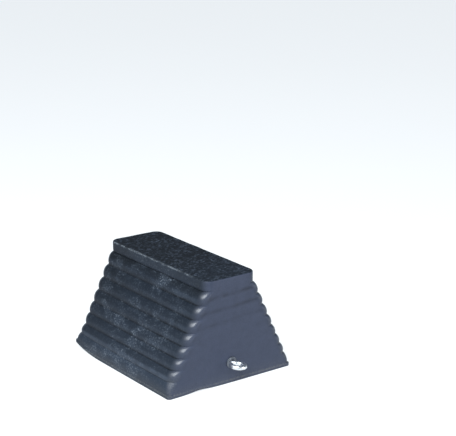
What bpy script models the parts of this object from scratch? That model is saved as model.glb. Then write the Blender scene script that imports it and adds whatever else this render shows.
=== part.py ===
"""Moulded rubber wheel chock with a wire eyebolt through one end wall.

Units are metres, +Z is up.  The origin is the centre of the sole, on the ground.
X runs between the two ribbed faces that meet a tyre, Y runs between the two smooth ends,
and the eyebolt stands out of the -Y end.
"""
from math import acos, asin, atan2, cos, hypot, pi, radians, sin, sqrt

import bmesh
import bpy

# Driving dimensions of the rubber block
HEIGHT = 0.154
LENGTH = 0.211              # over the sole, from ribbed face to ribbed face
WIDTH = 0.241               # over the sole, from end to end
TOP_LENGTH = 0.087
SOLE_HEIGHT = 0.0045        # thin flange around the foot, left by the mould's parting line
SOLE_STEP = 0.0006          # how far the flange stands proud of the band above it
LIP_HEIGHT = 0.0157         # plain band under the top face
LIP_STEP = 0.0015           # how far the lip stands out over the top groove
BASE_BAND_HEIGHT = 0.0214   # plain band above the ground
BASE_BAND_FLARE = 0.0047    # how far the band stands out from the lowest groove
FOOT_SHARE = 0.42           # upright share of the base band, below its round shoulder
RIB_COUNT = 7
RIB_SHRINK = 0.00067        # each rib is this much lower than the one above it
GROOVE_SLOPE_RUN = 0.058    # how far the faces lean out between the top and lowest groove
RIB_HALF_ANGLE = radians(39)
LIP_CORNER_RADIUS = 0.014
LOW_CORNER_RADIUS = 0.016
FOOT_CORNER_RADIUS = 0.009
SOLE_CORNER_RADIUS = 0.005
TOP_EDGE_RADIUS = 0.0025
SOLE_CHAMFER = 0.0005
RIB_FADE_START = radians(40)  # ribs run round the corner this far before they fade out

# Driving dimensions of the eyebolt and its hardware, a quarter-inch size
WIRE_RADIUS = 0.003175
EYE_RADIUS = 0.0095         # centre line of the eye
NECK_BEND_RADIUS = 0.006    # centre line of the bend where the shank turns into the eye
EYE_REACH = 0.0155          # eye centre from the rubber
EYE_TURN = radians(174)     # the eye stands nearly level, with its neck towards +X
EYE_GAP_ANGLE = radians(40)
BOLT_HEIGHT = 0.030
BOLT_HOLE_RADIUS = 0.0035
WALL_THICKNESS = 0.038      # rubber between the end face and the nut pocket
SHANK_CHAMFER = 0.0008
CUT_END_CHAMFER = 0.0003    # at the free end of the wire, beside the neck
WASHER_THICKNESS = 0.0016
OUTER_WASHER_RADIUS = 0.0081
INNER_WASHER_RADIUS = 0.0111
WASHER_HOLE_RADIUS = 0.0036
WASHER_EDGE_CHAMFER = 0.0002
NUT_ACROSS_FLATS = 0.01111
NUT_HEX_HEIGHT = 0.0056
NUT_COLLAR_HEIGHT = 0.0023
NUT_COLLAR_RADIUS = 0.0052
NUT_BORE_RADIUS = 0.0035
NUT_CHAMFER = 0.0005
NUT_TURN = radians(17)
INSERT_RADIUS = 0.00425
INSERT_HEIGHT = 0.0017
THREAD_PROUD = 0.0018       # shank showing past the nut

# Driving dimensions of the pocket under the block that gives a socket access to the nut
POCKET_LENGTH = 0.040
POCKET_WIDTH = 0.044
POCKET_DEPTH = 0.056
POCKET_RADIUS = 0.005
POCKET_ROOF_SWEEP = radians(80)  # short of a right angle, so the roof keeps its corners

CONTACT_GAP = 0.0003
CUTTER_MARGIN = 0.002       # how far a cutter runs past the face it opens
CORNER_STEPS = 6
RIB_STEPS = 6
EDGE_STEPS = 3
TURNED_STEPS = 32
NECK_STEPS = 6
EYE_STEPS = 30

END_FACE = WIDTH / 2 - SOLE_STEP
TOP_GROOVE = HEIGHT - LIP_HEIGHT
GROOVE_DROP = TOP_GROOVE - BASE_BAND_HEIGHT  # from the top groove to the lowest one


def clear_scene():
    for item in list(bpy.data.objects):
        bpy.data.objects.remove(item, do_unlink=True)


def material(name, colour, roughness, metallic=0.0):
    made = bpy.data.materials.new(name)
    made.use_nodes = True
    shader = made.node_tree.nodes["Principled BSDF"]
    shader.inputs["Base Color"].default_value = (*colour, 1.0)
    shader.inputs["Roughness"].default_value = roughness
    shader.inputs["Metallic"].default_value = metallic
    return made


def new_object(name, data, finish, parent=None, smooth_angle=None):
    made = bpy.data.objects.new(name, data)
    bpy.context.collection.objects.link(made)
    if finish:
        data.materials.append(finish)
    if parent:
        made.parent = parent
    if smooth_angle is not None:
        data.shade_smooth()
        data.set_sharp_from_angle(angle=smooth_angle)
    return made


def cut(target, cutter, operation="DIFFERENCE"):
    """Boolean a guide into a piece, and hide the guide."""
    change = target.modifiers.new(cutter.name, "BOOLEAN")
    change.operation = operation
    change.solver = "EXACT"
    change.object = cutter
    cutter.hide_render = True
    cutter.display_type = "WIRE"


def fade(angle):
    """Share of a rib that is left at this angle round a corner: 1 on the ribbed face."""
    t = (angle - RIB_FADE_START) / (pi / 2 - RIB_FADE_START)
    t = min(max(t, 0.0), 1.0)
    return 1 - t * t * (3 - 2 * t)


def outline(half_length, half_width, radius, bulge=0.0):
    """Rounded rectangle, anticlockwise, whose X sides and corners stand out by the bulge."""
    points = []
    for sx, sy, forward in ((1, 1, True), (-1, 1, False), (-1, -1, True), (1, -1, False)):
        steps = range(CORNER_STEPS + 1)
        for step in steps if forward else reversed(steps):
            angle = pi / 2 * step / CORNER_STEPS
            reach = radius + bulge * fade(angle)
            x = sx * (half_length - radius + reach * cos(angle))
            y = sy * (half_width - radius + reach * sin(angle))
            points.append((x, y))
    return points


def stacked_solid(name, levels):
    """Closed mesh through a stack of outlines, each given as (height, points)."""
    mesh = bpy.data.meshes.new(name)
    bm = bmesh.new()
    rings = [[bm.verts.new((x, y, z)) for x, y in points] for z, points in levels]
    count = len(rings[0])
    for low, high in zip(rings, rings[1:]):
        for i in range(count):
            j = (i + 1) % count
            bm.faces.new((low[i], low[j], high[j], high[i]))
    bm.faces.new(list(reversed(rings[0])))
    bm.faces.new(rings[-1])
    bm.to_mesh(mesh)
    bm.free()
    return mesh


def turned_mesh(name, profile):
    """Ring about local Z from a closed profile of (radius, height), anticlockwise."""
    mesh = bpy.data.meshes.new(name)
    bm = bmesh.new()
    rings = []
    for step in range(TURNED_STEPS):
        angle = 2 * pi * step / TURNED_STEPS
        rings.append([bm.verts.new((r * cos(angle), r * sin(angle), z)) for r, z in profile])
    for step in range(TURNED_STEPS):
        here = rings[step]
        after = rings[(step + 1) % TURNED_STEPS]
        for i in range(len(profile)):
            j = (i + 1) % len(profile)
            bm.faces.new((here[i], after[i], after[j], here[j]))
    bm.to_mesh(mesh)
    bm.free()
    return mesh


def prism_mesh(name, radius, low, high, sides, chamfer=0.0):
    """Upright prism about local Z, with an optional chamfer at its lower end."""
    levels = [(low, radius - chamfer), (low + chamfer, radius), (high, radius)]
    if not chamfer:
        levels = levels[1:]
    turn = [2 * pi * step / sides for step in range(sides)]
    return stacked_solid(name, [(z, [(r * cos(a), r * sin(a)) for a in turn]) for z, r in levels])


def arc_between(start, end, half_angle, steps):
    """Points of an arc that bulges to the right of the way from start to end."""
    dx = end[0] - start[0]
    dz = end[1] - start[1]
    chord = hypot(dx, dz)
    radius = chord / 2 / sin(half_angle)
    normal = (dz / chord, -dx / chord)
    inset = radius * cos(half_angle)
    centre_x = (start[0] + end[0]) / 2 - normal[0] * inset
    centre_z = (start[1] + end[1]) / 2 - normal[1] * inset
    middle = atan2(normal[1], normal[0])
    points = []
    for step in range(steps + 1):
        angle = middle - half_angle + 2 * half_angle * step / steps
        points.append((centre_x + radius * cos(angle), centre_z + radius * sin(angle)))
    return points


def groove(index):
    """Place (x, z) of a groove line, counted from the top one."""
    drop = GROOVE_DROP * index / RIB_COUNT + RIB_SHRINK * index * (RIB_COUNT - index) / 2
    run = GROOVE_SLOPE_RUN * drop / GROOVE_DROP
    return TOP_LENGTH / 2 - LIP_STEP + run, TOP_GROOVE - drop


def ribbed_levels():
    """The grooved faces from the foot up to the lip, as (height, line, bulge, corner radius)."""
    low_groove = groove(RIB_COUNT)
    foot_x = low_groove[0] + BASE_BAND_FLARE
    foot_top = FOOT_SHARE * BASE_BAND_HEIGHT
    levels = []

    def add_arc(start, end, half_angle, radius_low, radius_high):
        for x, z in arc_between(start, end, half_angle, RIB_STEPS)[:-1]:
            share = (z - start[1]) / (end[1] - start[1])
            line = start[0] + (end[0] - start[0]) * share
            radius = radius_low + (radius_high - radius_low) * share
            levels.append((z, line, x - line, radius))

    band_lean = atan2(BASE_BAND_FLARE, BASE_BAND_HEIGHT - foot_top)
    levels.append((SOLE_HEIGHT + SOLE_STEP, foot_x, 0.0, FOOT_CORNER_RADIUS))
    add_arc((foot_x, foot_top), low_groove, band_lean, FOOT_CORNER_RADIUS, LOW_CORNER_RADIUS)
    for rib in reversed(range(RIB_COUNT)):
        corner = (LOW_CORNER_RADIUS - LIP_CORNER_RADIUS) / RIB_COUNT
        low_radius = LIP_CORNER_RADIUS + corner * (rib + 1)
        add_arc(groove(rib + 1), groove(rib), RIB_HALF_ANGLE, low_radius, low_radius - corner)
    levels.append((TOP_GROOVE, groove(0)[0], 0.0, LIP_CORNER_RADIUS))
    levels.append((TOP_GROOVE + LIP_STEP, TOP_LENGTH / 2, 0.0, LIP_CORNER_RADIUS))
    return levels


def body_levels():
    """Every outline of the rubber block, from the ground to the top face."""
    half_length = LENGTH / 2
    half_width = WIDTH / 2
    levels = []
    for z, inset in ((0.0, SOLE_CHAMFER), (SOLE_CHAMFER, 0.0), (SOLE_HEIGHT, 0.0)):
        points = outline(half_length - inset, half_width - inset, SOLE_CORNER_RADIUS - inset)
        levels.append((z, points))
    for z, line, bulge, radius in ribbed_levels():
        levels.append((z, outline(line, END_FACE, radius, bulge)))
    lip_x = TOP_LENGTH / 2
    for step in range(EDGE_STEPS + 1):
        angle = pi / 2 * step / EDGE_STEPS
        inset = TOP_EDGE_RADIUS * (1 - cos(angle))
        z = HEIGHT - TOP_EDGE_RADIUS * (1 - sin(angle))
        levels.append((z, outline(lip_x - inset, END_FACE - inset, LIP_CORNER_RADIUS - inset)))
    return levels


def pocket_levels():
    """The nut pocket, open below the sole, with a rounded roof edge."""
    half_x = POCKET_WIDTH / 2
    half_y = POCKET_LENGTH / 2
    levels = [(-CUTTER_MARGIN, outline(half_x, half_y, POCKET_RADIUS))]
    for step in range(EDGE_STEPS + 1):
        angle = POCKET_ROOF_SWEEP * step / EDGE_STEPS
        inset = POCKET_RADIUS * (1 - cos(angle))
        z = POCKET_DEPTH - POCKET_RADIUS * (1 - sin(angle))
        levels.append((z, outline(half_x - inset, half_y - inset, POCKET_RADIUS - inset)))
    return levels


def build_block(rubber, axis):
    block = new_object("chock_body", stacked_solid("chock_body", body_levels()), rubber,
                       smooth_angle=radians(32))
    pocket = new_object("pocket_cutter", stacked_solid("pocket_cutter", pocket_levels()), None)
    pocket.location.y = -END_FACE + WALL_THICKNESS + POCKET_LENGTH / 2
    cut(block, pocket)
    hole = prism_mesh("bolt_hole_cutter", BOLT_HOLE_RADIUS, -WALL_THICKNESS - CUTTER_MARGIN,
                      CUTTER_MARGIN, TURNED_STEPS)
    cut(block, new_object("bolt_hole_cutter", hole, None, axis))
    return block


def eyebolt_path(tip):
    """Centre line from the threaded tip along local Z, round the eye and back to the neck."""
    rise = sqrt(EYE_RADIUS ** 2 + 2 * NECK_BEND_RADIUS * EYE_RADIUS)
    sweep = asin(rise / (NECK_BEND_RADIUS + EYE_RADIUS))
    points = [(0.0, tip), (0.0, tip + SHANK_CHAMFER), (0.0, (tip + EYE_REACH - rise) / 2)]
    for step in range(NECK_STEPS + 1):
        angle = sweep * step / NECK_STEPS
        x = -NECK_BEND_RADIUS * (1 - cos(angle))
        points.append((x, EYE_REACH - rise + NECK_BEND_RADIUS * sin(angle)))
    start = pi - acos(rise / (NECK_BEND_RADIUS + EYE_RADIUS))
    end = -pi + EYE_GAP_ANGLE
    for step in range(1, EYE_STEPS + 1):
        angle = start + (end - start) * step / EYE_STEPS
        points.append((-EYE_RADIUS * sin(angle), EYE_REACH + EYE_RADIUS * cos(angle)))
    return points


def build_eyebolt(steel, axis, tip):
    points = eyebolt_path(tip)
    curve = bpy.data.curves.new("eyebolt", "CURVE")
    curve.dimensions = "3D"
    curve.bevel_depth = WIRE_RADIUS
    curve.bevel_resolution = 4
    curve.use_fill_caps = True
    spline = curve.splines.new("POLY")
    spline.points.add(len(points) - 1)
    for point, (x, z) in zip(spline.points, points):
        point.co = (x, 0.0, z, 1.0)
    spline.points[0].radius = 1 - SHANK_CHAMFER / WIRE_RADIUS
    spline.points[-1].radius = 1 - CUT_END_CHAMFER / WIRE_RADIUS
    spline.use_smooth = True
    bolt = new_object("eyebolt", curve, steel, axis)
    bolt.rotation_euler.z = EYE_TURN
    return bolt


def build_washer(name, radius, low, steel, axis):
    high = low + WASHER_THICKNESS
    edge = WASHER_EDGE_CHAMFER
    profile = [(WASHER_HOLE_RADIUS, low), (radius - edge, low), (radius, low + edge),
               (radius, high - edge), (radius - edge, high), (WASHER_HOLE_RADIUS, high)]
    return new_object(name, turned_mesh(name, profile), steel, axis, radians(40))


def build_nut(steel, nylon, axis, face):
    """Lock nut: a hexagon, a round collar on its far side, and a nylon ring in the collar."""
    hex_radius = NUT_ACROSS_FLATS / 2 / cos(pi / 6)
    hex_end = face - NUT_HEX_HEIGHT
    collar_end = hex_end - NUT_COLLAR_HEIGHT
    nut = new_object("lock_nut", prism_mesh("lock_nut", hex_radius, hex_end, face, 6, NUT_CHAMFER),
                     steel, axis)
    nut.rotation_euler.z = NUT_TURN
    collar = prism_mesh("nut_collar", NUT_COLLAR_RADIUS, collar_end, hex_end + NUT_CHAMFER * 2,
                        TURNED_STEPS, NUT_CHAMFER)
    cut(nut, new_object("nut_collar", collar, None, axis), "UNION")
    bore = prism_mesh("nut_bore_cutter", NUT_BORE_RADIUS, collar_end - CUTTER_MARGIN,
                      face + CUTTER_MARGIN, TURNED_STEPS)
    cut(nut, new_object("nut_bore_cutter", bore, None, axis))
    recess = prism_mesh("nut_recess_cutter", INSERT_RADIUS + CONTACT_GAP,
                        collar_end - CUTTER_MARGIN, collar_end + INSERT_HEIGHT + 2 * CONTACT_GAP,
                        TURNED_STEPS)
    cut(nut, new_object("nut_recess_cutter", recess, None, axis))
    low = collar_end + CONTACT_GAP
    profile = [(NUT_BORE_RADIUS, low), (INSERT_RADIUS, low),
               (INSERT_RADIUS, low + INSERT_HEIGHT), (NUT_BORE_RADIUS, low + INSERT_HEIGHT)]
    new_object("nut_insert", turned_mesh("nut_insert", profile), nylon, axis, radians(40))
    return collar_end


def build():
    clear_scene()
    rubber = material("black_rubber", (0.045, 0.052, 0.065), 0.55)
    steel = material("zinc_plated_steel", (0.62, 0.64, 0.66), 0.28, 1.0)
    nylon = material("white_nylon", (0.72, 0.72, 0.68), 0.5)

    # Local Z of this empty points out of the -Y end, along the bolt
    axis = bpy.data.objects.new("bolt_axis", None)
    bpy.context.collection.objects.link(axis)
    axis.location = (0.0, -END_FACE, BOLT_HEIGHT)
    axis.rotation_euler.x = pi / 2

    build_block(rubber, axis)
    build_washer("outer_washer", OUTER_WASHER_RADIUS, CONTACT_GAP, steel, axis)
    inner_low = -WALL_THICKNESS - CONTACT_GAP - WASHER_THICKNESS
    build_washer("inner_washer", INNER_WASHER_RADIUS, inner_low, steel, axis)
    nut_end = build_nut(steel, nylon, axis, inner_low - CONTACT_GAP)
    build_eyebolt(steel, axis, nut_end - THREAD_PROUD)


build()
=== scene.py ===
# %% [markdown]
# # A moulded rubber wheel chock
#
# A chock like this is one solid rubber moulding. Two of its sides slope and carry rounded ribs,
# so that a tyre can climb and bite on them, and its two ends are flat. A wire eyebolt goes
# through one end near the ground. A rope is tied to its eye, and a lock nut with a big washer
# holds it in a pocket under the block.
#
# Every size is in metres. The origin is the middle of the sole, +Z is up, the ribbed faces look
# along X, and the eyebolt stands out along -Y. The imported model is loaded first: each piece made
# here takes the place of one of its nodes and rides on one of its bodies.

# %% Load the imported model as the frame
from math import acos, asin, cos, pi, radians, sin, sqrt
from types import SimpleNamespace

import bmesh
import bpy
from mathutils import Matrix, Vector


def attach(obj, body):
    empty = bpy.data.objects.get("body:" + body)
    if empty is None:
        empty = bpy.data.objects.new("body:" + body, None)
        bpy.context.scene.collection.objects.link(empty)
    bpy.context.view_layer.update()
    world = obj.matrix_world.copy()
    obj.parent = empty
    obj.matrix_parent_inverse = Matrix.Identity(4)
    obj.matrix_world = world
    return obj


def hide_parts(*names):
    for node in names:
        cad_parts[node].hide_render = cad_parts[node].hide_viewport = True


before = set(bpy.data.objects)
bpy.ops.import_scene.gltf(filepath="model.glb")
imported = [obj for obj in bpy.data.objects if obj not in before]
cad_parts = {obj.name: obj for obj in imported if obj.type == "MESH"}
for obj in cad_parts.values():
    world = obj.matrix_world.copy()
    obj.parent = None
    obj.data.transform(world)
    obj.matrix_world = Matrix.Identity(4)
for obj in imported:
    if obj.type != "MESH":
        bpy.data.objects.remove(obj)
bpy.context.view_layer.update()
print("nodes:", sorted(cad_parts))

# %% [markdown]
# ## Node trees written as sums
#
# Shapes and finishes below are both node trees. Adding their maths nodes one by one would hide
# the rule in each of them, so one small class wraps a socket: an ordinary sum, product or
# difference on it adds the matching Math node. Any other node comes from its node() method,
# which takes the node's type, then its settings, then the values or links of its sockets.


# %% One class for every node tree
class Flow:
    """A value that flows through a node tree."""

    def __init__(self, tree, socket=None):
        self.tree = tree
        self.socket = socket

    def node(self, kind, settings=None, sockets=None, out=0):
        made = self.tree.nodes.new(kind)
        for name, value in (settings or {}).items():
            setattr(made, name, value)
        for name, value in (sockets or {}).items():
            if isinstance(value, Flow):
                self.tree.links.new(value.socket, made.inputs[name])
            else:
                made.inputs[name].default_value = value
        return Flow(self.tree, made.outputs[out] if made.outputs else None)

    def other(self, name):
        """Another output of the node that this value comes from."""
        return Flow(self.tree, self.socket.node.outputs[name])

    def sum(self, operation, *values):
        return self.node("ShaderNodeMath", {"operation": operation}, dict(enumerate(values)))

    def __add__(self, other):
        return self.sum("ADD", self, other)

    __radd__ = __add__

    def __sub__(self, other):
        return self.sum("SUBTRACT", self, other)

    def __rsub__(self, other):
        return self.sum("SUBTRACT", other, self)

    def __mul__(self, other):
        return self.sum("MULTIPLY", self, other)

    __rmul__ = __mul__

    def __truediv__(self, other):
        return self.sum("DIVIDE", self, other)

    def __rtruediv__(self, other):
        return self.sum("DIVIDE", other, self)

    def __pow__(self, other):
        return self.sum("POWER", self, other)

    def size(self):
        return self.sum("ABSOLUTE", self)

    def side(self):
        return self.sum("SIGN", self)

    def sine(self):
        return self.sum("SINE", self)

    def cosine(self):
        return self.sum("COSINE", self)

    def floor(self):
        return self.sum("FLOOR", self)

    def part(self):
        """What is left after the whole number."""
        return self.sum("FRACT", self)

    def least(self, other):
        return self.sum("MINIMUM", self, other)

    def most(self, other):
        return self.sum("MAXIMUM", self, other)

    def ramp(self, start, end):
        """0 at start, 1 at end, straight between them and level outside them."""
        return self.node("ShaderNodeMapRange", {"clamp": True},
                         {0: self, 1: start, 2: end, 3: 0.0, 4: 1.0})

    def ease(self, start, end):
        """As ramp(), but it leaves 0 and reaches 1 softly."""
        return self.node("ShaderNodeMapRange", {"interpolation_type": "SMOOTHSTEP"},
                         {0: self, 1: start, 2: end, 3: 0.0, 4: 1.0})

    def axes(self):
        """The three parts of a vector."""
        x = self.node("ShaderNodeSeparateXYZ", sockets={0: self})
        return x, x.other("Y"), x.other("Z")

    def vector(self, x, y, z):
        return self.node("ShaderNodeCombineXYZ", sockets={0: x, 1: y, 2: z})

    def noise(self, place, scale, detail=2.0, roughness=0.5, stretch=(1.0, 1.0, 1.0)):
        """Noise in lumps of about 1 / scale metres, from about 0 to 1."""
        pulled = self.node("ShaderNodeVectorMath", {"operation": "MULTIPLY"},
                           {0: place, 1: stretch})
        return self.node("ShaderNodeTexNoise", None,
                         {"Vector": pulled, "Scale": scale, "Detail": detail,
                          "Roughness": roughness})

    def tint(self, mask, low, high):
        """A colour between low and high."""
        return self.node("ShaderNodeMix", {"data_type": "RGBA"}, {0: mask, 6: low, 7: high},
                         out=2)


print("Flow is ready for shapes and finishes")

# %% [markdown]
# ## Running a shape tree
#
# A Geometry Nodes tree gets named inputs for its sizes, so that a size can still be tried by
# hand. Its last steps realize whatever it made and give it a finish. The result is kept as a
# plain mesh, because a plain mesh can be cut, exported and printed.


# %% Open, close and run a Geometry Nodes tree
SOCKET_KINDS = {int: "NodeSocketInt", float: "NodeSocketFloat"}


def open_tree(name, sizes):
    """A new tree with one input for each size, given as values that flow out of its input."""
    tree = bpy.data.node_groups.new(name, "GeometryNodeTree")
    tree.interface.new_socket(name="Geometry", in_out="INPUT",
                              socket_type="NodeSocketGeometry")
    tree.interface.new_socket(name="Geometry", in_out="OUTPUT",
                              socket_type="NodeSocketGeometry")
    for label, value in sizes.items():
        tree.interface.new_socket(name=label, in_out="INPUT",
                                  socket_type=SOCKET_KINDS.get(type(value),
                                                               "NodeSocketMaterial"))
    entry = Flow(tree).node("NodeGroupInput")
    return tree, {label: entry.other(label) for label in ("Geometry", *sizes)}


def close_tree(shape, finish):
    """Realize what was made, give it its finish and send it out of the tree."""
    smooth = shape.node("GeometryNodeSetShadeSmooth", None, {"Geometry": shape})
    solid = shape.node("GeometryNodeRealizeInstances", None, {"Geometry": smooth})
    coated = shape.node("GeometryNodeSetMaterial", None,
                        {"Geometry": solid, "Material": finish})
    shape.node("NodeGroupOutput", None, {"Geometry": coated})


def run_tree(name, tree, sizes, guide=None):
    """Run the tree on a guide mesh and keep the result as a plain object of this name."""
    holder = bpy.data.objects.new(name + "_guide", guide or bpy.data.meshes.new(name))
    bpy.context.collection.objects.link(holder)
    modifier = holder.modifiers.new("shape", "NODES")
    modifier.node_group = tree
    for item in tree.interface.items_tree:
        if item.in_out == "INPUT" and item.name in sizes:
            modifier[item.identifier] = sizes[item.name]
    graph = bpy.context.evaluated_depsgraph_get()
    mesh = bpy.data.meshes.new_from_object(holder.evaluated_get(graph), depsgraph=graph)
    bpy.data.objects.remove(holder, do_unlink=True)
    return plain_object(name, mesh)


def plain_object(name, mesh, finish=None):
    made = bpy.data.objects.new(name, mesh)
    mesh.name = name
    bpy.context.collection.objects.link(made)
    if finish:
        mesh.materials.append(finish)
    return made


def report(piece):
    """Print a piece's size, and how many faces it has."""
    low, high = (Vector(corner) for corner in (piece.bound_box[0], piece.bound_box[6]))
    size = " x ".join(f"{value * 1000:.1f}" for value in high - low)
    print(f"{piece.name}: {size} mm, {len(piece.data.polygons)} faces")


# %% [markdown]
# ## Finish: moulded rubber
#
# The rubber of a chock is reground tyre rubber pressed in a steel mould. It is slate black and
# nearly matt, with a fine grain. Pale dust lies on its ribs, its top edges scuff to light grey,
# dirt gathers round its foot, and the corners of the ribs are polished by handling. The end
# walls come out of the mould smoother and greyer than the ribs, and their colour is also painted
# lighter for the light that falls on them. Painted shade darkens the grooves, the creases on the
# ends, the upper and lower parts of the ribs, the band under the lip, the far end, the top and
# its long edges. A painted highlight, with some real wear, lightens the lower rim of each rib,
# and the colour grows paler towards the bottom.
#
# An image could be painted for all this, but it would stretch where the ribs bend. Here each
# effect is a mask made from a point's place and from noise. The block's mesh stores three values
# that a place alone can't give: how many ribs up a point is, how far it has turned round a
# corner towards the end wall, and how deep it lies in a crease.


# %% A new material with its Principled shader
def new_finish(name, **constants):
    """A material, the Flow that makes its nodes, and its Principled shader."""
    finish = bpy.data.materials.new(name)
    finish.use_nodes = True
    shader = finish.node_tree.nodes["Principled BSDF"]
    for socket, value in constants.items():
        shader.inputs[socket.replace("_", " ")].default_value = value
    return finish, Flow(finish.node_tree), shader


def coat(flow, shader, height, strength, distance, **varying):
    """Link what varies over the surface, and a bump from the height."""
    bump = flow.node("ShaderNodeBump", None,
                     {"Strength": strength, "Distance": distance, "Height": height})
    for socket, value in dict(varying, Normal=bump).items():
        flow.tree.links.new(value.socket, shader.inputs[socket.replace("_", " ")])


# %% Sizes of the rubber block
HEIGHT = 0.154
LENGTH = 0.211          # over the sole, from ribbed face to ribbed face
WIDTH = 0.241           # over the sole, from end to end
TOP_LENGTH = 0.087
SOLE_HEIGHT = 0.0045    # thin flange round the foot
SOLE_STEP = 0.0006      # how far the flange stands out
LIP_HEIGHT = 0.0157     # plain band under the top
LIP_STEP = 0.0015       # how far the lip stands out over the top groove
RIB_SHRINK = 0.00067    # each rib is this much lower than the one above it
BAND_HEIGHT = 0.0214    # plain band above the ground
BAND_FLARE = 0.0047     # how far the band stands out from the lowest groove
GROOVE_RUN = 0.058      # how far the faces lean out between the top and lowest groove
RIBS = 7
BOLT_HEIGHT = 0.030
END_FACE = WIDTH / 2 - SOLE_STEP
FOOT_TOP = 0.42 * BAND_HEIGHT
LIP_BOTTOM = HEIGHT - LIP_HEIGHT
print(f"block {LENGTH * 1000:.0f} x {WIDTH * 1000:.0f} x {HEIGHT * 1000:.0f} mm, "
      f"a rib every {(LIP_BOTTOM - BAND_HEIGHT) / RIBS * 1000:.1f} mm")

# %% Colours of the rubber
CLEAN_DARK = (0.0070, 0.0120, 0.0210, 1.0)
CLEAN_LIGHT = (0.0110, 0.0175, 0.0285, 1.0)
# A paler tone, for the lower ribs and for the painted highlight on the ribs' rims
PALER_TONE = (0.0260, 0.0365, 0.0550, 1.0)
# End walls: a greyer mould skin, and also painted lighter for the light that falls on them
LIT_SMOOTH_END = (0.0380, 0.0480, 0.0800, 1.0)
# Painted shade
SHADED = (0.0035, 0.0055, 0.0085, 1.0)
# Pale dust, also used for the painted highlight on the lowest rib's rim
DUST_AND_HIGHLIGHT = (0.0530, 0.0690, 0.0960, 1.0)
PALE = (0.1200, 0.1450, 0.1750, 1.0)
FOOT_DUST = (0.0850, 0.0900, 0.0950, 1.0)
WORN = (0.1700, 0.1950, 0.2200, 1.0)
print(f"clean rubber throws back {CLEAN_LIGHT[1]:.1%} of green light, a worn edge {WORN[1]:.1%}")


# %% Where a point of the block is
def rubber_places(flow, x, y, z):
    """Masks from 0 to 1 for the parts of the block, from a point's place."""
    ribs_up = flow.node("ShaderNodeAttribute", {"attribute_name": "ribs_up"}, out="Fac")
    turned = flow.node("ShaderNodeAttribute", {"attribute_name": "turned"}, out="Fac")
    phase = ribs_up.part()    # how far up its own rib the point is
    top = z.ease(HEIGHT - 0.0015, HEIGHT - 0.0004)
    ribbed = 1.0 - turned.ease(0.0, 0.70)
    on_ribs = (1.0 - turned.ease(0.0, 0.45)) * ribs_up.ramp(0.0, 0.01)
    on_ribs = on_ribs * (1.0 - ribs_up.ramp(RIBS - 0.01, RIBS - 0.001))
    edge_gap = ((x.size() - TOP_LENGTH / 2) ** 2.0 + (z - HEIGHT) ** 2.0) ** 0.5
    low_corner = turned.ease(0.10, 0.40) * (1.0 - turned.ease(0.60, 0.95))
    # belly, groove, crown, under_lip and far say where painted shade goes; end also takes a
    # painted lighter tone
    return SimpleNamespace(
        turned=turned, phase=phase, top=top,
        end=(1.0 - ribbed) * (1.0 - top),
        face=(1.0 - turned.ease(0.0, 0.12)) * (1.0 - top),
        corner=turned.ease(0.02, 0.30) * (1.0 - top),
        low_corner=low_corner * (1.0 - z.ease(0.012, 0.042)),
        on_ribs=on_ribs,
        belly=(1.0 - phase.ease(0.10, 0.60)) * on_ribs,
        groove=(1.0 - phase.ease(0.01, 0.10)).most(phase.ease(0.93, 0.99)) * on_ribs,
        crown=phase.ease(0.30, 0.60) * on_ribs,
        under_lip=ribs_up.ramp(RIBS - 0.60, RIBS - 0.15) * on_ribs,
        lowest=1.0 - ribs_up.ramp(0.9, 1.1),
        on_band=1.0 - z.ease(0.014, 0.019),
        on_lip=z.ease(LIP_BOTTOM - 0.001, LIP_BOTTOM),
        far=y.ease(0.02, 0.10) * ribbed,
        near=1.0 - y.ease(-0.07, 0.0),
        top_edge=1.0 - edge_gap.ease(0.0006, 0.0030),
        foot_edge=1.0 - (z - SOLE_HEIGHT).size().ease(0.0004, 0.0017))


# %% Noise from fine grain to broad patches
def rubber_noises(flow, place):
    return SimpleNamespace(
        grain=flow.noise(place, 1500.0, 2.0, 0.6),
        speck=flow.noise(place, 620.0, 3.0, 0.7),
        point=flow.noise(place, 430.0, 1.0, 0.5),
        fibre=flow.noise(place, 340.0, 3.0, 0.7, stretch=(0.6, 1.0, 1.0)),
        blotch=flow.noise(place, 85.0, 3.0, 0.55, stretch=(1.0, 0.6, 1.0)),
        patch=flow.noise(place, 21.0, 2.0, 0.5))


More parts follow.
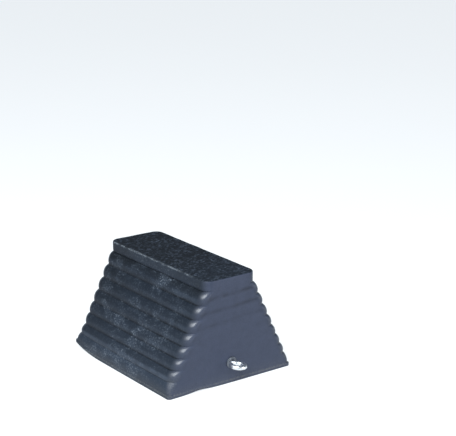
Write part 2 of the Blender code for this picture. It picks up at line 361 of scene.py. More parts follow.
# %% What lies on the rubber or is worn into it, and a painted highlight on the ribs' lower rims
def rubber_wear(at, noise, y, z):
    """Masks of dust, dirt and wear, and of a painted highlight on the ribs' lower rims, from where
    a point is and from the noises.
    """
    handled = at.face * (1.0 - (y - 0.01).size().ease(0.055, 0.110)) * (1.0 - 0.8 * at.on_lip)
    dusty = (noise.blotch * 0.45 + noise.patch * 0.55).ease(0.47, 0.60)
    # Painted highlight, with some real wear: a light line along the lower rim of each rib,
    # stronger at the near end and on the lowest rib
    rim_wear_and_highlight = at.phase.ease(0.02, 0.16 - 0.10 * at.lowest) * (1.0 - at.phase.ease(0.30, 0.50))
    rim_wear_and_highlight = rim_wear_and_highlight * at.on_ribs * (0.20 + 0.50 * at.near + 0.50 * at.lowest)
    scuff = at.top_edge * noise.speck.ease(0.40, 0.56)
    scuff = scuff * (0.12 + 0.88 * noise.blotch.ease(0.38, 0.58))
    foot = (1.0 - z.ease(0.003, 0.020)) * 0.40
    weave = at.top * noise.fibre.ease(0.50, 0.66)
    return SimpleNamespace(
        rim_wear_and_highlight=rim_wear_and_highlight * (0.45 + 0.55 * noise.blotch.ease(0.3, 0.6)),
        points=noise.point.ease(0.56, 0.66) * (0.15 + 0.85 * dusty * handled) * at.face,
        dust=dusty * noise.speck.ease(0.42, 0.60) * handled,
        scuff=scuff * (0.2 + 0.8 * y.ease(-0.105, -0.080)),
        weave=weave * (0.35 + 0.65 * noise.blotch.ease(0.35, 0.60)),
        pores=at.top * (1.0 - noise.fibre.ease(0.34, 0.47)),
        dirt=(at.low_corner * 0.9).most(foot) * noise.speck.ease(0.38, 0.58),
        foot_line=at.foot_edge * noise.speck.ease(0.38, 0.60),
        mottle=at.end * (noise.speck * 0.6 + noise.blotch * 0.4).ease(0.35, 0.65))


# %% Colour of the rubber, layer on layer, painted shade and painted highlights among them
def rubber_colour(flow, at, noise, wear, y, z):
    crease = flow.node("ShaderNodeAttribute", {"attribute_name": "crease"}, out="Fac")
    # Painted shade: darker upper halves of the ribs, a darker band under the lip, and darker ribs
    # towards the far end
    shade = at.crown * 0.32 + at.under_lip * 0.42 + at.far * (0.22 + 0.20 * z.ease(0.06, 0.12))
    # Painted shade on the top: darker overall and most in its middle and far part, with dark pores
    # in its grain
    top_shade = at.top * (0.47 + 0.33 * y.ease(-0.09, -0.02)) + wear.pores * 0.4
    colour = flow.tint(noise.blotch.ease(0.30, 0.70), CLEAN_DARK, CLEAN_LIGHT)
    layers = [
        # Paler towards the bottom
        ((1.0 - z.ease(0.005, 0.125)) * 0.50, PALER_TONE),
        # End walls: greyer mould skin, and also painted light, lightest where the corner has
        # turned fully round
        (at.end * (0.61 + 0.14 * at.turned.ease(0.75, 1.0) + 0.25 * wear.mottle), LIT_SMOOTH_END),
        # Painted shade on the lower part of each rib
        (at.belly * 0.40, SHADED),
        # Painted shade on the rib tops, under the lip and at the far end
        (shade, SHADED),
        # Painted highlight, with some wear, on each rib's lower rim
        (wear.rim_wear_and_highlight * 0.75, PALER_TONE),
        # Painted highlight, stronger on the lowest rib's rim
        (wear.rim_wear_and_highlight * at.lowest * 0.35, DUST_AND_HIGHLIGHT),
        # Painted shade in the creases on the end walls
        (crease * 0.45, SHADED),
        # Painted shade in the grooves, darker at the near end and lighter at the far end
        (at.groove * (0.50 + 0.30 * at.near - 0.20 * at.far), SHADED),
        # Painted shade on the top
        (top_shade, SHADED),
        (wear.dust * 0.50, DUST_AND_HIGHLIGHT),
        (wear.weave * 0.85, DUST_AND_HIGHLIGHT),
        (wear.points * 0.60, PALE),
        (wear.dirt * 0.55, FOOT_DUST),
        # Painted shade on the rounded top edges, under the scuffs
        (at.top_edge * 0.45, SHADED),
        (wear.scuff * 0.85, WORN),
        (wear.foot_line * 0.75, FOOT_DUST),
    ]
    for mask, paint in layers:
        colour = flow.tint(mask, colour, paint)
    return colour


# %% Moulded rubber
def rubber_finish():
    finish, flow, shader = new_finish("moulded_rubber", Specular_IOR_Level=0.22,
                                      Coat_Roughness=0.32, Coat_IOR=1.5)
    place = flow.node("ShaderNodeTexCoord", out="Object")
    x, y, z = place.axes()
    at = rubber_places(flow, x, y, z)
    noise = rubber_noises(flow, place)
    wear = rubber_wear(at, noise, y, z)
    colour = rubber_colour(flow, at, noise, wear, y, z)

    # Only the upper part of each rib's corner is polished
    gloss = 0.9 * at.corner * (1.0 - at.turned.ease(0.48, 0.85))
    gloss = gloss * (1.0 - 0.75 * at.on_band.most(1.0 - at.phase.ease(0.25, 0.60)))
    gloss = gloss * (1.0 - 0.45 * at.low_corner)
    gloss = gloss * (1.0 - 0.6 * z.ease(LIP_BOTTOM, LIP_BOTTOM + 0.002))
    rough = (0.62 + 0.30 * at.top - 0.10 * at.end + 0.10 * wear.dust
             + 0.08 * (noise.blotch - 0.5))
    height = (noise.grain * 0.35 + noise.speck * (0.25 + 0.6 * at.top) + noise.blotch * 0.25
              + noise.fibre * at.top * 1.2)
    coat(flow, shader, height, 0.30, 0.0006, Base_Color=colour, Roughness=rough,
         Coat_Weight=gloss)
    return finish


RUBBER = rubber_finish()
print("rubber:", len(RUBBER.node_tree.nodes), "nodes")

# %% [markdown]
# ## Finish: zinc plate and nylon
#
# The eyebolt, its washers and the nut are mild steel with a thin bright zinc plate: a little
# blue, a little cloudy, with fine scratches from the box they came in. The ring in the lock
# nut is milky nylon. A plain metal with one roughness would look like chrome, so soft noise
# varies both colour and roughness. One function makes both zinc finishes, because the washers
# differ from the eye only in being rougher and much darker. Their dark colour is painted shade,
# standing in for the dark surroundings that the washers reflect.

# %% Zinc plate and nylon
PITTED = (0.32, 0.33, 0.34, 1.0)


def zinc_finish(name, bright, cloudy, roughness):
    finish, flow, shader = new_finish(name, Metallic=1.0)
    place = flow.node("ShaderNodeTexCoord", out="Object")
    cloud = flow.noise(place, 260.0, 3.0, 0.6)
    scratch = flow.noise(place, 900.0, 2.0, 0.5, stretch=(1.0, 0.12, 1.0))
    pit = flow.noise(place, 2400.0, 1.0, 0.5)
    colour = flow.tint(cloud.ease(0.35, 0.7), bright, cloudy)
    colour = flow.tint(pit.ease(0.66, 0.76) * 0.5, colour, PITTED)
    rough = roughness + 0.20 * cloud.ease(0.3, 0.8) + 0.08 * scratch
    coat(flow, shader, scratch * 0.6 + cloud * 0.5, 0.25, 0.0001,
         Base_Color=colour, Roughness=rough)
    return finish


def nylon_finish():
    finish, flow, shader = new_finish("nylon")
    place = flow.node("ShaderNodeTexCoord", out="Object")
    cloud = flow.noise(place, 300.0, 2.0, 0.5)
    colour = flow.tint(cloud.ease(0.3, 0.7), (0.78, 0.78, 0.73, 1.0),
                       (0.66, 0.66, 0.60, 1.0))
    coat(flow, shader, cloud, 0.2, 0.0002, Base_Color=colour, Roughness=0.35 + 0.2 * cloud)
    return finish


ZINC = zinc_finish("zinc_plate", (0.84, 0.86, 0.88, 1.0), (0.66, 0.70, 0.74, 1.0), 0.22)
# Washers: rougher zinc whose dark colour is painted shade, for the dark surroundings they reflect
DULL_SHADED_ZINC = zinc_finish("dull_shaded_zinc", (0.17, 0.185, 0.21, 1.0), (0.11, 0.125, 0.15, 1.0), 0.42)
NYLON = nylon_finish()
print("zinc:", len(ZINC.node_tree.nodes), "nodes, nylon:", len(NYLON.node_tree.nodes), "nodes")

# %% [markdown]
# ## The rubber block
#
# The block follows a rule. Cut it level at any height and the cut is a rounded rectangle. Its
# long sides stand out in arcs, one arc for each rib, and the arcs run round the corners and
# fade out on the flat ends. It could be stacked from hand-drawn outlines, but then every rib
# would be redrawn when one size changes. So the block is a fine box grid whose points a Geometry
# Nodes tree moves to where the rule puts them: the count of a point's level says how high it is
# and how far out, and its place along the level says where it is on the rounded rectangle.

# %% How many grid cells each part of the block gets
SOLE_CELLS = 4
FOOT_CELLS = 4
BAND_CELLS = 9
RIB_CELLS = 13
LIP_CELLS = 9
EDGE_CELLS = 5
CORNER_CELLS = 7
CELLS_X = 84
CELLS_Y = 132
BAND_START = SOLE_CELLS + FOOT_CELLS
RIB_START = BAND_START + BAND_CELLS
LIP_START = RIB_START + RIBS * RIB_CELLS
EDGE_START = LIP_START + LIP_CELLS
CELLS_Z = EDGE_START + EDGE_CELLS
print("grid:", CELLS_X, "x", CELLS_Y, "x", CELLS_Z, "cells")

# %% Sizes that go into the block's tree
BLOCK_SIZES = {
    "Height": HEIGHT, "Sole length": LENGTH, "Width": WIDTH, "Top length": TOP_LENGTH,
    "Sole height": SOLE_HEIGHT, "Sole step": SOLE_STEP, "Lip height": LIP_HEIGHT,
    "Lip step": LIP_STEP, "Rib shrink": RIB_SHRINK, "Foot top": FOOT_TOP,
    "Band height": BAND_HEIGHT, "Band flare": BAND_FLARE, "Groove run": GROOVE_RUN,
    "Rib half angle": radians(39.0), "Rib fade start": radians(40.0),
    "Sole chamfer": 0.0005, "Top edge": 0.0025,
    "Sole corner": 0.005, "Foot corner": 0.009, "Low corner": 0.016, "Lip corner": 0.014,
    "Crease spacing": 0.019, "Crease depth": 0.0012, "Washer swell": 0.0004,
    "Corner wear": 0.010, "Edge bow": 0.0022, "Mould waviness": 0.00035,
    "Rubber": RUBBER,
}
print("the block's tree has", len(BLOCK_SIZES), "named inputs")


# %% An arc on a leaning chord
def arc(share, run, rise, half_angle):
    """How far along (out, up) a point is at this share of an arc whose chord leans inwards."""
    chord = (run ** 2.0 + rise ** 2.0) ** 0.5
    radius = chord / 2.0 / half_angle.sine()
    turn = half_angle * (2.0 * share - 1.0)
    along = radius * turn.sine() + chord / 2.0
    over = radius * (turn.cosine() - half_angle.cosine())
    out = (over * rise - along * run) / chord
    up = (over * run + along * rise) / chord
    return out, up


# %% Arcs of the base band and of the ribs
def band_arc(band, size):
    """How far the base band bulges out, and how far up its arc this level is."""
    rise = size["Band height"] - size["Foot top"]
    half_angle = size["Band flare"].sum("ARCTAN2", size["Band flare"], rise)
    out, up = arc(band, size["Band flare"], rise, half_angle)
    return out + up * size["Band flare"] / rise, up, rise


def rib_arcs(ribs_up, size):
    """How far the ribs bulge out, and how high above the lowest groove this level is."""
    rib = ribs_up.least(RIBS - 0.0001).floor()
    ribs_rise = size["Height"] - size["Lip height"] - size["Band height"]
    mean_rise = ribs_rise / float(RIBS)
    rise = mean_rise + size["Rib shrink"] * (rib - (RIBS - 1) / 2)
    below = rib * mean_rise - size["Rib shrink"] * rib * (RIBS - rib) / 2.0
    run = size["Groove run"] * rise / ribs_rise
    out, up = arc(ribs_up - rib, run, rise, size["Rib half angle"])
    return out + up * run / rise, below + up, ribs_rise


# %% Height and outline of each level
def block_levels(level, size):
    """Height, half sizes, corner radius and bulge of a level, and how many ribs up it is."""
    chamfer = level.ramp(0.0, 1.0)
    sole = level.ramp(1.0, SOLE_CELLS - 1.0)
    step = level.ramp(SOLE_CELLS - 1.0, SOLE_CELLS)
    foot = level.ramp(SOLE_CELLS, BAND_START)
    band = level.ramp(BAND_START, RIB_START)
    ribs_up = level.ramp(RIB_START, LIP_START) * float(RIBS)
    lip = level.ramp(LIP_START + 1.0, EDGE_START)
    edge = level.ramp(EDGE_START, CELLS_Z) * (pi / 2)

    band_bulge, band_up, band_rise = band_arc(band, size)
    rib_bulge, ribs_height, ribs_rise = rib_arcs(ribs_up, size)
    sole_chamfer = size["Sole chamfer"] * (1.0 - chamfer)
    edge_in = size["Top edge"] * (1.0 - edge.cosine())
    overhang = size["Lip step"] * level.ramp(LIP_START, LIP_START + 1.0)
    z = (size["Sole chamfer"] * chamfer
         + (size["Sole height"] - size["Sole chamfer"]) * sole
         + size["Sole step"] * step
         + (size["Foot top"] - size["Sole height"] - size["Sole step"]) * foot
         + band_up + ribs_height + overhang
         + (size["Lip height"] - size["Lip step"] - size["Top edge"]) * lip
         + size["Top edge"] * edge.sine())
    foot_in = ((size["Sole length"] - size["Top length"]) / 2.0 + size["Lip step"]
               - size["Groove run"] - size["Band flare"])
    half_x = (size["Sole length"] / 2.0 - sole_chamfer - foot_in * step
              - size["Band flare"] * band_up / band_rise
              - size["Groove run"] * ribs_height / ribs_rise + overhang - edge_in)
    half_y = size["Width"] / 2.0 - sole_chamfer - size["Sole step"] * step - edge_in
    corner = (size["Sole corner"] - sole_chamfer
              + (size["Foot corner"] - size["Sole corner"]) * step
              + (size["Low corner"] - size["Foot corner"]) * band_up / band_rise
              + (size["Lip corner"] - size["Low corner"]) * ribs_up / float(RIBS) - edge_in)
    return z, half_x, half_y, corner, band_bulge + rib_bulge, ribs_up


# %% Place on the rounded rectangle
TINY = 0.000001    # keeps a division away from zero


def round_place(flow, grid_x, grid_y, half_x, half_y, corner, bulge, size):
    """The straight part of a side, then its last cells bend round the corner."""
    share_x = 2.0 * CORNER_CELLS / CELLS_X
    share_y = 2.0 * CORNER_CELLS / CELLS_Y
    reach_x = (grid_x * 2.0).size()
    reach_y = (grid_y * 2.0).size()
    bend_x = reach_x.ramp(1.0 - share_x, 1.0)
    bend_y = reach_y.ramp(1.0 - share_y, 1.0)
    length = (bend_x * bend_x + bend_y * bend_y) ** 0.5
    squeeze = bend_x.most(bend_y) / length.most(TINY)
    angle = flow.sum("ARCTAN2", bend_y, bend_x.most(TINY))
    ribbed = 1.0 - angle.ease(size["Rib fade start"], pi / 2)
    reach = corner + bulge * ribbed
    straight_x = (half_x - corner) * reach_x.ramp(0.0, 1.0 - share_x)
    straight_y = (half_y - corner) * reach_y.ramp(0.0, 1.0 - share_y)
    on_end = bend_y * squeeze
    x = grid_x.side() * (straight_x + reach * (bend_x * squeeze))
    y = grid_y.side() * (straight_y + reach * on_end)
    return x, y, angle, on_end * (1.0 - ribbed)


# %% [markdown]
# ## Marks of moulding and use
#
# A thick rubber moulding is never quite flat. As it cools, the ribs' waves run on over the ends
# as shallow creases, the rubber swells a little round the clamped washer, and the whole skin is
# a bit wavy. With use one bottom corner wears up, and the bottom edge of one end bows. A bump
# could fake these, but they show in the outline and in the highlights, so they move the points.

# %% Creases, swelling and wear
CREASE_HEIGHT = 0.1285    # where one of the creases is
CREASE_TILT = 0.05        # their slope across the end
WEAR_HEIGHT = 0.032       # wear at the foot dies away up to here
BOW_X = -0.053
BOW_REACH = 0.024


def crease_depth(flow, x, y, z, on_end, size):
    """From 0 to 1, how deep a point of the end wall lies in a crease."""
    tilted = z - CREASE_TILT * (x + 0.013)
    turns = (tilted - CREASE_HEIGHT) / size["Crease spacing"] * (2.0 * pi)
    wave = (turns.cosine() * 0.5 + 0.5) ** 4.0
    patchy = flow.noise(flow.vector(x, y, z), 60.0, 2.0, 0.5).ease(0.30, 0.62)
    upper = tilted.ease(0.055, 0.135) * (1.0 - tilted.ease(0.136, 0.141))
    return wave * upper * on_end * (0.35 + 0.65 * patchy)


def washer_swell(x, z, grid_y, size):
    """How far the end wall stands out beside the washer."""
    from_bolt = (x * x + (z - BOLT_HEIGHT) * (z - BOLT_HEIGHT)) ** 0.5
    on_bolt_end = 1.0 - grid_y.ramp(-0.4999, -0.4998)
    return (1.0 - from_bolt.ease(0.0075, 0.019)) * on_bolt_end * size["Washer swell"]


def foot_lift(x, y, z, size):
    """How far wear lifts a point of the foot."""
    worn = size["Corner wear"] * y.ramp(0.042, WIDTH / 2) ** 2.5 * x.ease(-0.02, -0.10)
    off_middle = (x - BOW_X) / BOW_REACH
    bowed = size["Edge bow"] * y.ease(-0.070, -0.119) / (off_middle * off_middle + 1.0) ** 2.0
    return (worn + bowed) * (1.0 - z.ramp(0.0, WEAR_HEIGHT))


def waviness(flow, size):
    """An offset that only ever sinks the skin, so the block keeps its size."""
    place = flow.node("GeometryNodeInputPosition")
    broad = flow.noise(place, 38.0, 1.0, 0.5)
    fine = flow.noise(place, 170.0, 2.0, 0.5)
    _, _, z = place.axes()
    depth = (broad.ease(0.35, 0.75) + fine.ease(0.45, 0.8) * 0.55) * size["Mould waviness"]
    return flow.node("ShaderNodeVectorMath", {"operation": "SCALE"},
                     {"Vector": flow.node("GeometryNodeInputNormal"),
                      "Scale": 0.0 - depth * z.ease(0.004, 0.012)})


# %% The rule of the block, as a tree
def block_tree():
    tree, size = open_tree("moulded_block", BLOCK_SIZES)
    flow = Flow(tree)
    grid = flow.node("GeometryNodeMeshCube", None,
                     {"Size": (1.0, 1.0, 1.0), "Vertices X": CELLS_X + 1,
                      "Vertices Y": CELLS_Y + 1, "Vertices Z": CELLS_Z + 1})
    grid_x, grid_y, grid_z = flow.node("GeometryNodeInputPosition").axes()
    z, half_x, half_y, corner, bulge, ribs_up = block_levels((grid_z + 0.5) * CELLS_Z, size)
    x, y, angle, on_end = round_place(flow, grid_x, grid_y, half_x, half_y, corner, bulge, size)
    crease = crease_depth(flow, x, y, z, on_end, size)
    y = y - grid_y.side() * crease * size["Crease depth"]
    y = y - washer_swell(x, z, grid_y, size)
    z = z + foot_lift(x, y, z, size)

    for name, value in (("ribs_up", ribs_up), ("turned", angle / (pi / 2)), ("crease", crease)):
        grid = flow.node("GeometryNodeStoreNamedAttribute", {"data_type": "FLOAT"},
                         {"Geometry": grid, "Name": name, "Value": value})
    shape = flow.node("GeometryNodeSetPosition", None,
                      {"Geometry": grid, "Position": flow.vector(x, y, z)})
    shape = flow.node("GeometryNodeSetPosition", None,
                      {"Geometry": shape, "Offset": waviness(flow, size)})
    close_tree(shape, size["Rubber"])
    return tree


block = run_tree("rubber_block", block_tree(), BLOCK_SIZES)
report(block)

# %% [markdown]
# ## The nut pocket and the bolt hole
#
# A core in the mould leaves a pocket under the block, big enough for a socket spanner on the
# nut, and the bolt's hole is drilled into it through the end wall. Both could be built into the
# grid, but that would bend the ribs' rows round them. They are cut out of the finished block
# instead, because a cut keeps the rest of the surface as it is.


# %% A closed mesh between rings of points
def skin(bm, rings, closed=False):
    """Quads between rings of corners that are given as coordinates."""
    made = [[bm.verts.new(corner) for corner in ring] for ring in rings]
    pairs = zip(made, made[1:] + made[:1]) if closed else zip(made, made[1:])
    for low, high in pairs:
        for i, corner in enumerate(low):
            j = (i + 1) % len(low)
            bm.faces.new((corner, low[j], high[j], high[i]))
    return made


def mesh_of(name, bm):
    bmesh.ops.recalc_face_normals(bm, faces=bm.faces)
    mesh = bpy.data.meshes.new(name)
    bm.to_mesh(mesh)
    bm.free()
    return mesh


def stacked(name, levels):
    """A closed solid through level outlines, each given as (height, [(x, y), ...])."""
    bm = bmesh.new()
    rings = skin(bm, [[(x, y, z) for x, y in outline] for z, outline in levels])
    bm.faces.new(rings[0])
    bm.faces.new(rings[-1])
    return mesh_of(name, bm)


def rounded(half_x, half_y, radius, steps=8):
    """Outline of a rounded rectangle."""
    points = []
    for quarter, (sx, sy) in enumerate(((1, 1), (-1, 1), (-1, -1), (1, -1))):
        for step in range(steps + 1):
            angle = pi / 2 * (quarter + step / steps)
            points.append((sx * (half_x - radius) + radius * cos(angle),
                           sy * (half_y - radius) + radius * sin(angle)))
    return points


# %% Sizes of the pocket and the hole
WALL = 0.038
POCKET_DEPTH = 0.056
POCKET_HALF_X = 0.022
POCKET_HALF_Y = 0.020
POCKET_RADIUS = 0.005
ROOF_SWEEP = radians(80.0)    # short of a right angle, so the roof keeps its corners
ROOF_STEPS = 6
HOLE_RADIUS = 0.0035
HOLE_SIDES = 40
CUTTER_MARGIN = 0.002
AXIS = Matrix.Translation((0, -END_FACE, BOLT_HEIGHT)) @ Matrix.Rotation(pi / 2, 4, "X")
print(f"pocket {POCKET_HALF_X * 2000:.0f} x {POCKET_HALF_Y * 2000:.0f} mm, "
      f"{POCKET_DEPTH * 1000:.0f} mm deep, {WALL * 1000:.0f} mm in from the end wall")


# %% Cut the pocket and the hole
def cut(piece, cutter):
    """Cut one object out of another for good."""
    change = piece.modifiers.new("cut", "BOOLEAN")
    change.operation = "DIFFERENCE"
    change.solver = "EXACT"
    change.object = cutter
    graph = bpy.context.evaluated_depsgraph_get()
    mesh = bpy.data.meshes.new_from_object(piece.evaluated_get(graph), depsgraph=graph)
    piece.modifiers.clear()
    piece.data = mesh
    bpy.data.objects.remove(cutter, do_unlink=True)


levels = [(-CUTTER_MARGIN, rounded(POCKET_HALF_X, POCKET_HALF_Y, POCKET_RADIUS))]
for step in range(ROOF_STEPS + 1):
    angle = ROOF_SWEEP * step / ROOF_STEPS
    inset = POCKET_RADIUS * (1 - cos(angle))
    levels.append((POCKET_DEPTH - POCKET_RADIUS * (1 - sin(angle)),
                   rounded(POCKET_HALF_X - inset, POCKET_HALF_Y - inset,
                           POCKET_RADIUS - inset)))
core = plain_object("pocket_core", stacked("pocket_core", levels), RUBBER)
core.data.transform(Matrix.Translation((0, -END_FACE + WALL + POCKET_HALF_Y, 0)))
cut(block, core)

turns = [2 * pi * step / HOLE_SIDES for step in range(HOLE_SIDES)]
round_hole = [(HOLE_RADIUS * cos(turn), HOLE_RADIUS * sin(turn)) for turn in turns]
drill = plain_object("drill", stacked("drill", [(-WALL - CUTTER_MARGIN, round_hole),
                                                (CUTTER_MARGIN, round_hole)]), RUBBER)
drill.data.transform(AXIS)
cut(block, drill)
block.data.shade_smooth()
block.data.set_sharp_from_angle(angle=radians(48.0))
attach(block, "block")
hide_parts("chock_body")
report(block)

# %% [markdown]
# ## The eyebolt
#
# A wire eyebolt is one rod: a machine bends its end round a pin into an eye and leaves a small
# gap beside the neck, and the other end is rolled into a thread. A torus and a cylinder would
# leave a seam at the neck, so the path is laid out as points: shank, a bend one way, then the
# eye. A Geometry Nodes tree sweeps a circle along it and sinks a screw thread into the far end
# by a rule: the depth depends on how far a point is along the shank, less a share of a turn.

# %% Sizes of the eyebolt and of what holds it
WIRE_RADIUS = 0.003175
EYE_RADIUS = 0.0095     # centre line of the eye
NECK_RADIUS = 0.006     # centre line of the bend into the eye
EYE_REACH = 0.0155      # eye centre from the end wall
EYE_TURN = radians(174.0)
EYE_GAP = radians(40.0)
GAP = 0.0003            # between pieces that are clamped together
WASHER_THICKNESS = 0.0016
NUT_FACE = -WALL - 2 * GAP - WASHER_THICKNESS
NUT_HEX = 0.0056
NUT_COLLAR = 0.0023
NUT_END = NUT_FACE - NUT_HEX - NUT_COLLAR
THREAD_PROUD = 0.0018   # thread showing past the nut
TIP = NUT_END - THREAD_PROUD
PITCH = 0.00127
THREAD_LENGTH = 0.022
print(f"eye {(EYE_RADIUS + WIRE_RADIUS) * 2000:.1f} mm across, "
      f"shank {-TIP * 1000:.1f} mm long in the block")


# %% Path of the wire
def wire_path(rows_per_turn=8, shank_steps=6, neck_steps=14, eye_steps=72):
    """Centre line from the threaded tip, as (x, height along the bolt)."""
    rise = sqrt(EYE_RADIUS ** 2 + 2 * NECK_RADIUS * EYE_RADIUS)
    sweep = asin(rise / (NECK_RADIUS + EYE_RADIUS))
    bend = EYE_REACH - rise
    rows = int(THREAD_LENGTH / PITCH * rows_per_turn)
    points = [(0.0, TIP + THREAD_LENGTH * i / rows) for i in range(rows + 1)]
    thread_end = points[-1][1]
    points += [(0.0, thread_end + (bend - thread_end) * i / shank_steps)
               for i in range(1, shank_steps)]
    for i in range(neck_steps + 1):
        angle = sweep * i / neck_steps
        points.append((-NECK_RADIUS * (1 - cos(angle)), bend + NECK_RADIUS * sin(angle)))
    start = pi - acos(rise / (NECK_RADIUS + EYE_RADIUS))
    end = -pi + EYE_GAP
    for i in range(1, eye_steps + 1):
        angle = start + (end - start) * i / eye_steps
        points.append((-EYE_RADIUS * sin(angle), EYE_REACH + EYE_RADIUS * cos(angle)))
    return points


guide = bpy.data.meshes.new("wire_guide")
turned_axis = AXIS @ Matrix.Rotation(EYE_TURN, 4, "Z")
corners = [turned_axis @ Vector((x, 0.0, h)) for x, h in wire_path()]
guide.from_pydata(corners, [(i, i + 1) for i in range(len(corners) - 1)], [])
print("wire:", round(sum((b - a).length for a, b in zip(corners, corners[1:])) * 1000, 1),
      "mm long before bending")

# %% Sweep the wire and roll its thread
WIRE_SIDES = 36
BOLT_SIZES = {
    "Wire radius": WIRE_RADIUS, "Thread pitch": PITCH, "Thread depth": 0.00058,
    "Thread start": -END_FACE - TIP, "Thread length": THREAD_LENGTH, "End chamfer": 0.0007,
    "Zinc": ZINC,
}


def bolt_tree():
    tree, size = open_tree("eyebolt_wire", BOLT_SIZES)
    flow = Flow(tree)
    line = flow.node("GeometryNodeMeshToCurve", None, {"Mesh": size["Geometry"]})
    circle = flow.node("GeometryNodeCurvePrimitiveCircle", None,
                       {"Resolution": WIRE_SIDES, "Radius": size["Wire radius"]})
    wire = flow.node("GeometryNodeCurveToMesh", None,
                     {"Curve": line, "Profile Curve": circle, "Fill Caps": True})
    x, y, z = flow.node("GeometryNodeInputPosition").axes()
    up = z - BOLT_HEIGHT
    along = size["Thread start"] - y
    turn = flow.sum("ARCTAN2", up, x) / (2.0 * pi)
    thread = (along / size["Thread pitch"] + turn).part()
    flank = ((thread - 0.5).size() * 2.0).ramp(0.12, 0.88)
    fade = along.ramp(size["Thread length"], size["Thread length"] * 0.9)
    sink = flank * fade * size["Thread depth"]
    sink = sink.most(size["End chamfer"] * (1.0 - along.ramp(0.0, 0.0009)))
    share = (0.0 - sink) / size["Wire radius"]
    inwards = flow.vector(x * share, 0.0, up * share)
    on_shank = flow.node("FunctionNodeCompare", {"operation": "LESS_THAN"},
                         {0: along, 1: size["Thread length"]})
    wire = flow.node("GeometryNodeSetPosition", None,
                     {"Geometry": wire, "Selection": on_shank, "Offset": inwards})
    close_tree(wire, size["Zinc"])
    return tree


eyebolt = run_tree("wire_eyebolt", bolt_tree(), BOLT_SIZES, guide)
eyebolt.data.set_sharp_from_angle(angle=radians(50.0))
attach(eyebolt, "eyebolt_set")
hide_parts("eyebolt")
report(eyebolt)

# %% [markdown]
# ## Washers, lock nut and nylon ring
#
# Flat washers are punched out of sheet, so one face has a soft edge that the punch drew over
# and the other a sharp one. All of these could be cut out of cylinders, but a turned ring gives
# even faces: a profile is drawn once and spun round the bolt. The nut's profile also moves in
# and out with its hexagon as it spins.


# %% Turned rings
def spun(name, profiles, finish, sharp_angle):
    """A closed ring through profiles of (radius, height), one for each (turn, profile)."""
    bm = bmesh.new()
    skin(bm, [[(r * cos(turn), r * sin(turn), h) for r, h in profile]
              for turn, profile in profiles], closed=True)
    made = plain_object(name, mesh_of(name, bm), finish)
    made.data.transform(AXIS)
    made.data.shade_smooth()
    made.data.set_sharp_from_angle(angle=sharp_angle)
    return made


def ring(name, profile, finish, sides=72):
    turns = [2 * pi * side / sides for side in range(sides)]
    return spun(name, [(turn, profile) for turn in turns], finish, radians(40.0))


def on_bolt(piece, node):
    """Let a piece turn with the eyebolt, in the place of a CAD node."""
    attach(piece, "eyebolt_set")
    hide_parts(node)
    report(piece)


# %% Washers
WASHER_HOLE = 0.0036
OUTER_WASHER_RADIUS = 0.0081
INNER_WASHER_RADIUS = 0.0111
DRAWN_EDGE = 0.00055    # the edge that the punch drew over
SHARP_EDGE = 0.0002     # the small bevel that tumbling leaves on the other edges
DRAWN_STEPS = 5


def washer(name, radius, low):
    """A punched washer: soft edge outwards, sharp edge towards the rubber."""
    high = low + WASHER_THICKNESS
    profile = [(WASHER_HOLE, low + SHARP_EDGE), (WASHER_HOLE + SHARP_EDGE / 2, low),
               (radius - SHARP_EDGE / 2, low), (radius, low + SHARP_EDGE)]
    turns = [pi / 2 * step / DRAWN_STEPS for step in range(DRAWN_STEPS + 1)]
    profile += [(radius - DRAWN_EDGE * (1 - cos(turn)), high - DRAWN_EDGE * (1 - sin(turn)))
                for turn in turns]
    profile += [(WASHER_HOLE + DRAWN_EDGE * (1 - sin(turn)),
                 high - DRAWN_EDGE * (1 - cos(turn))) for turn in turns]
    return ring(name, profile, DULL_SHADED_ZINC)


on_bolt(washer("eye_washer", OUTER_WASHER_RADIUS, GAP), "outer_washer")
on_bolt(washer("nut_washer", INNER_WASHER_RADIUS, NUT_FACE + GAP), "inner_washer")

# %% Sizes of the lock nut
ACROSS_FLATS = 0.01111
NUT_TURN = radians(17.0)
NUT_BORE = 0.0035
NUT_SIDES = 96
CHAMFER_START = 0.925    # radius at the face, as a share of the hexagon's corner
CHAMFER_SLOPE = 1.73
COLLAR_RADIUS = 0.0052
COLLAR_ROUND = 0.0009
COLLAR_STEPS = 6
INSERT_RADIUS = 0.00425
INSERT_HEIGHT = 0.0017
SEAT_ROOM = 2 * GAP      # what the nylon ring's seat is taller than the ring
# Levels down the hexagon, close together where the chamfer ends
HEX_ROWS = [0.0, 0.0001, 0.0003, 0.0005, 0.0008, 0.0012, 0.0028, 0.0044, 0.0048, 0.0051,
            0.0053, 0.0055, 0.0056]
print(f"nut {ACROSS_FLATS * 1000:.2f} mm across flats, "
      f"{(NUT_HEX + NUT_COLLAR) * 1000:.1f} mm high with its collar")


# %% Lock nut
def nut_profile(turn):
    """The nut's outline in this direction: hexagon held in by chamfers, collar, seat, bore."""
    side = ACROSS_FLATS / 2 / cos((turn - NUT_TURN + pi / 6) % (pi / 3) - pi / 6)
    corner = ACROSS_FLATS / 2 / cos(pi / 6)
    profile = []
    for row in HEX_ROWS:
        from_face = min(row, NUT_HEX - row)
        held = corner * CHAMFER_START + from_face * CHAMFER_SLOPE
        profile.append((min(side, held), NUT_FACE - row))
    for step in range(COLLAR_STEPS + 1):
        bend = pi / 2 * step / COLLAR_STEPS
        profile.append((COLLAR_RADIUS - COLLAR_ROUND * (1 - cos(bend)),
                        NUT_END + COLLAR_ROUND - COLLAR_ROUND * sin(bend)))
    seat = NUT_END + INSERT_HEIGHT + SEAT_ROOM
    return profile + [(INSERT_RADIUS + GAP, NUT_END + 0.0001), (INSERT_RADIUS + GAP, seat),
                      (NUT_BORE, seat), (NUT_BORE, NUT_FACE - 0.0003),
                      (NUT_BORE + 0.0003, NUT_FACE)]


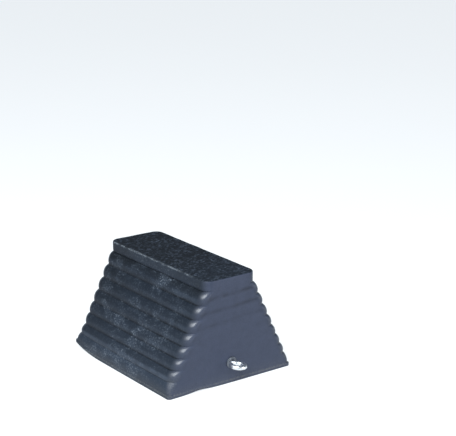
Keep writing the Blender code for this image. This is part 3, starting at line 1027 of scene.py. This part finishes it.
turns = [2 * pi * step / NUT_SIDES + NUT_TURN for step in range(NUT_SIDES)]
nut = spun("hex_lock_nut", [(turn, nut_profile(turn)) for turn in turns], ZINC, radians(28.0))
on_bolt(nut, "lock_nut")

# %% Nylon ring
INSERT_BORE = 0.00335
low = NUT_END + GAP
high = low + INSERT_HEIGHT
insert = ring("nylon_ring", [(INSERT_BORE, low + 0.0004), (0.0036, low + 0.0001), (0.0039, low),
                             (INSERT_RADIUS - 0.0002, low), (INSERT_RADIUS, low + 0.0002),
                             (INSERT_RADIUS, high), (INSERT_BORE, high)], NYLON)
on_bolt(insert, "nut_insert")

# %% [markdown]
# ## Floor, light and camera
#
# The chock stands on a plain white floor under soft light. A white floor throws light back up
# under every rib, so it matters as much as the lamps. The main lamp is large and stands high on
# the left, and the polished corners draw its bright spots. A second, weaker lamp lights the end
# wall. Small lamps would throw hard shadows into the grooves, so both are wide.

# %% White floor
FLOOR_REACH = 9.0
FLOOR_DROP = 0.0002    # just under the sole, so the two never fight for the same place


def floor():
    bm = bmesh.new()
    bmesh.ops.create_grid(bm, x_segments=8, y_segments=8, size=FLOOR_REACH)
    mesh = mesh_of("floor", bm)
    mesh.transform(Matrix.Translation((0, 0, -FLOOR_DROP)))
    finish, flow, shader = new_finish("white_floor", Roughness=0.9,
                                      Emission_Color=(0.93, 0.97, 1.0, 1.0),
                                      Emission_Strength=0.80)
    place = flow.node("ShaderNodeTexCoord", out="Object")
    cloud = flow.noise(place, 1.3, 1.0, 0.5)
    white = flow.tint(cloud, (0.30, 0.30, 0.30, 1.0), (0.32, 0.32, 0.32, 1.0))
    flow.tree.links.new(white.socket, shader.inputs["Base Color"])
    return plain_object("floor", mesh, finish)


floor()
print(f"floor: {FLOOR_REACH * 2:.0f} m square")


# %% Lamps
def soft_lamp(name, azimuth, elevation, distance, size, power, colour=(1.0, 1.0, 1.0)):
    """An area lamp around the block. Azimuth 0 is in front of the eyebolt end, + is right."""
    lamp = bpy.data.lights.new(name, "AREA")
    lamp.shape = "DISK"
    lamp.size = size
    lamp.energy = power
    lamp.color = colour
    made = bpy.data.objects.new(name, lamp)
    bpy.context.collection.objects.link(made)
    a, e = radians(azimuth), radians(elevation)
    middle = Vector((0.0, 0.0, HEIGHT / 2))
    made.location = middle + Vector((sin(a) * cos(e), -cos(a) * cos(e), sin(e))) * distance
    made.rotation_euler = (middle - made.location).to_track_quat("-Z", "Y").to_euler()
    print(f"{name} lamp: {size} m wide, {power:.0f} W")


soft_lamp("key", azimuth=-58.0, elevation=47.0, distance=2.2, size=1.9, power=92.0,
          colour=(0.93, 0.97, 1.0))
soft_lamp("side", azimuth=32.0, elevation=14.0, distance=2.4, size=1.6, power=22.0)

# %% Sky
SKY_COLOUR = (0.72, 0.85, 1.0, 1.0)
SKY_STRENGTH = 0.22
world = bpy.data.worlds.new("studio")
world.use_nodes = True
sky = world.node_tree.nodes["Background"]
sky.inputs["Color"].default_value = SKY_COLOUR
sky.inputs["Strength"].default_value = SKY_STRENGTH
bpy.context.scene.world = world
bpy.context.scene.view_settings.view_transform = "Standard"
print("sky strength:", SKY_STRENGTH)

# %% Camera
CAMERA_PLACE = (-1.0570, -1.4954, 0.7371)
YAW = 0.6517
PITCH_DOWN = 0.28120
ROLL = 0.00872
FOCAL_LENGTH = 107.04
SENSOR_WIDTH = 36.0

forward = Vector((sin(YAW) * cos(PITCH_DOWN), cos(YAW) * cos(PITCH_DOWN), -sin(PITCH_DOWN)))
right = Vector((cos(YAW), -sin(YAW), 0.0))
up = right.cross(forward)
rolled_right = right * cos(ROLL) + up * sin(ROLL)
rolled_up = up * cos(ROLL) - right * sin(ROLL)
lens = bpy.data.cameras.new("camera")
lens.lens = FOCAL_LENGTH
lens.sensor_width = SENSOR_WIDTH
camera = bpy.data.objects.new("camera", lens)
bpy.context.collection.objects.link(camera)
camera.matrix_world = Matrix.Translation(CAMERA_PLACE) @ Matrix(
    (rolled_right, rolled_up, -forward)).transposed().to_4x4()
bpy.context.scene.camera = camera
print("camera stands", round((camera.location - Vector((0, 0, HEIGHT / 2))).length, 2), "m away")
